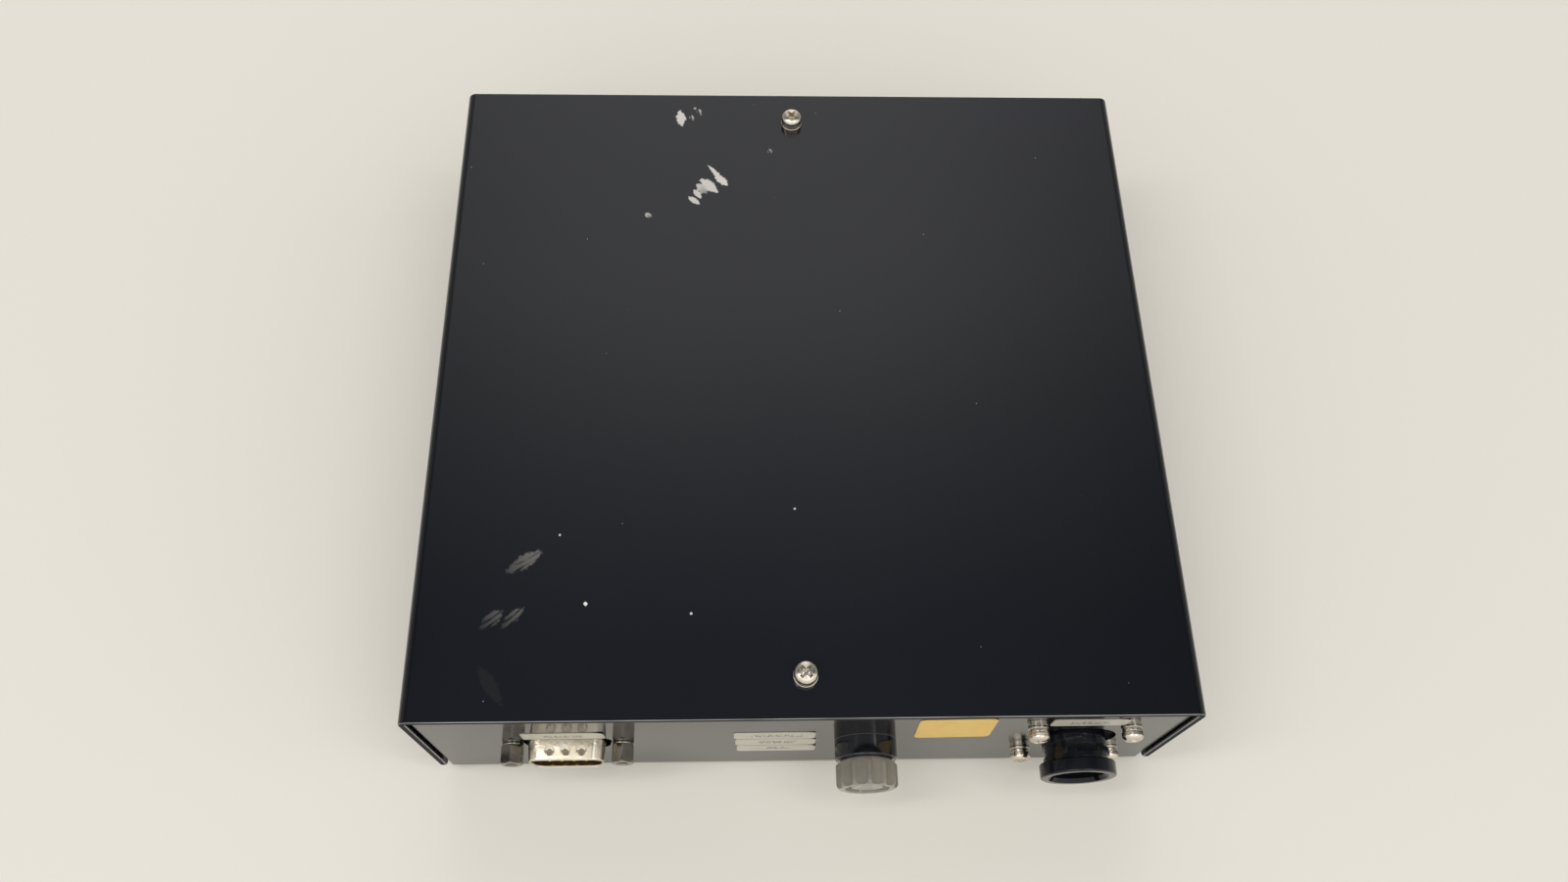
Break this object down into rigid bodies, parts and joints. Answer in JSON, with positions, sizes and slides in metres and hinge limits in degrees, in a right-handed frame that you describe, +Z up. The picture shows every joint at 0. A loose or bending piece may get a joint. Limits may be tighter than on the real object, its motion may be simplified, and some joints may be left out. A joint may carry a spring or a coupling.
{
  "type": "serial interface box",
  "caption": "Low black sheet-steel interface box with a serial plug, a panel fuse holder and a round power socket on its front, and a lift-off cover.",
  "frame": {"origin": "centre of the base plate's underside, under the middle of the cover", "axes": "+X to the right seen from the front, +Y from the connectors to the rear, +Z up"},
  "size_m": [0.172, 0.1782, 0.0534],
  "materials": {
    "black_enamel": "smooth satin black baked enamel with a few scuffs and dust",
    "nickel_plate": "bright nickel plate, slightly warm",
    "gold_contact": "gold-flashed brass contacts",
    "black_moulding": "smooth black moulded thermoplastic",
    "amber_moulding": "dark amber moulded insulator",
    "smoke_cap": "smoke-grey translucent moulded cap",
    "strip_film": "off-white laminated label film",
    "amber_film": "matt amber sticker film",
    "green_laminate": "green solder-masked glass laminate",
    "chip_black": "matt black chip moulding",
    "chip_white": "white optocoupler moulding",
    "can_aluminium": "bare aluminium can",
    "sleeve_blue": "shrunk blue sleeve",
    "ferrite": "grey-black ferrite",
    "copper_wire": "enamelled copper winding",
    "black_anodised": "black anodised aluminium",
    "small_ceramic": "small ceramic chip parts",
    "header_nylon": "natural nylon",
    "terminal_green": "green moulded terminal",
    "fuse_glass": "clear glass tube",
    "wire_blue": "blue wire insulation",
    "wire_red": "red wire insulation",
    "wire_earth": "green wire insulation"
  },
  "bodies": {
    "case": {"chassis": "black_enamel", "clinch_nuts": "nickel_plate", "serial_shell": "nickel_plate", "serial_rear_shell": "nickel_plate", "serial_insulator": "amber_moulding", "serial_pins": "gold_contact", "jack_posts": "nickel_plate", "jack_washers": "nickel_plate", "jack_nuts": "nickel_plate", "fuse_holder": "black_moulding", "fuse_holder_nut": "black_moulding", "fuse_plunger": "gold_contact", "fuse_spring": "nickel_plate", "fuse_terminals": "nickel_plate", "socket_housing": "black_moulding", "socket_insert": "black_moulding", "socket_contacts": "gold_contact", "socket_screws": "nickel_plate", "socket_spring_washers": "nickel_plate", "socket_plain_washers": "nickel_plate", "socket_nuts": "nickel_plate", "serial_label": "strip_film", "power_label": "strip_film", "rating_strips": "strip_film", "amber_sticker": "amber_film", "board": "green_laminate", "board_standoffs": "nickel_plate", "board_screws": "nickel_plate", "controller_chip": "chip_black", "controller_leads": "nickel_plate", "logic_chips": "chip_black", "logic_leads": "nickel_plate", "optocouplers": "chip_white", "crystal": "nickel_plate", "capacitor_cans": "can_aluminium", "capacitor_sleeves": "sleeve_blue", "choke_core": "ferrite", "choke_winding": "copper_wire", "heatsink": "black_anodised", "regulator": "chip_black", "regulator_tab": "nickel_plate", "small_parts": "small_ceramic", "serial_header": "header_nylon", "power_terminal": "terminal_green", "terminal_screws": "nickel_plate", "earth_screw": "nickel_plate", "earth_lug": "nickel_plate", "serial_wires": "wire_blue", "power_wires": "wire_red", "earth_wire": "wire_earth"},
    "lid": {"cover": "black_enamel", "cover_screws": "nickel_plate", "cover_washers": "nickel_plate", "cover_plain_washers": "nickel_plate"},
    "fuse": {"fuse_glass": "fuse_glass", "fuse_end_caps": "nickel_plate", "fuse_wire": "nickel_plate"},
    "cap": {"fuse_cap": "smoke_cap"}
  },
  "joints": [
    {"name": "cover_lift", "type": "slide", "parent": "case", "child": "lid", "axis": [0, 0, 1], "range_m": [0, 0.06]},
    {"name": "fuse_draw", "type": "slide", "parent": "case", "child": "fuse", "axis": [0, -1, 0], "range_m": [0, 0.03]},
    {"name": "cap_turn", "type": "hinge", "parent": "fuse", "child": "cap", "pos_m": [0.0146, -0.0831, 0.025], "axis": [0, -1, 0], "range_deg": [0, 90]}
  ]
}
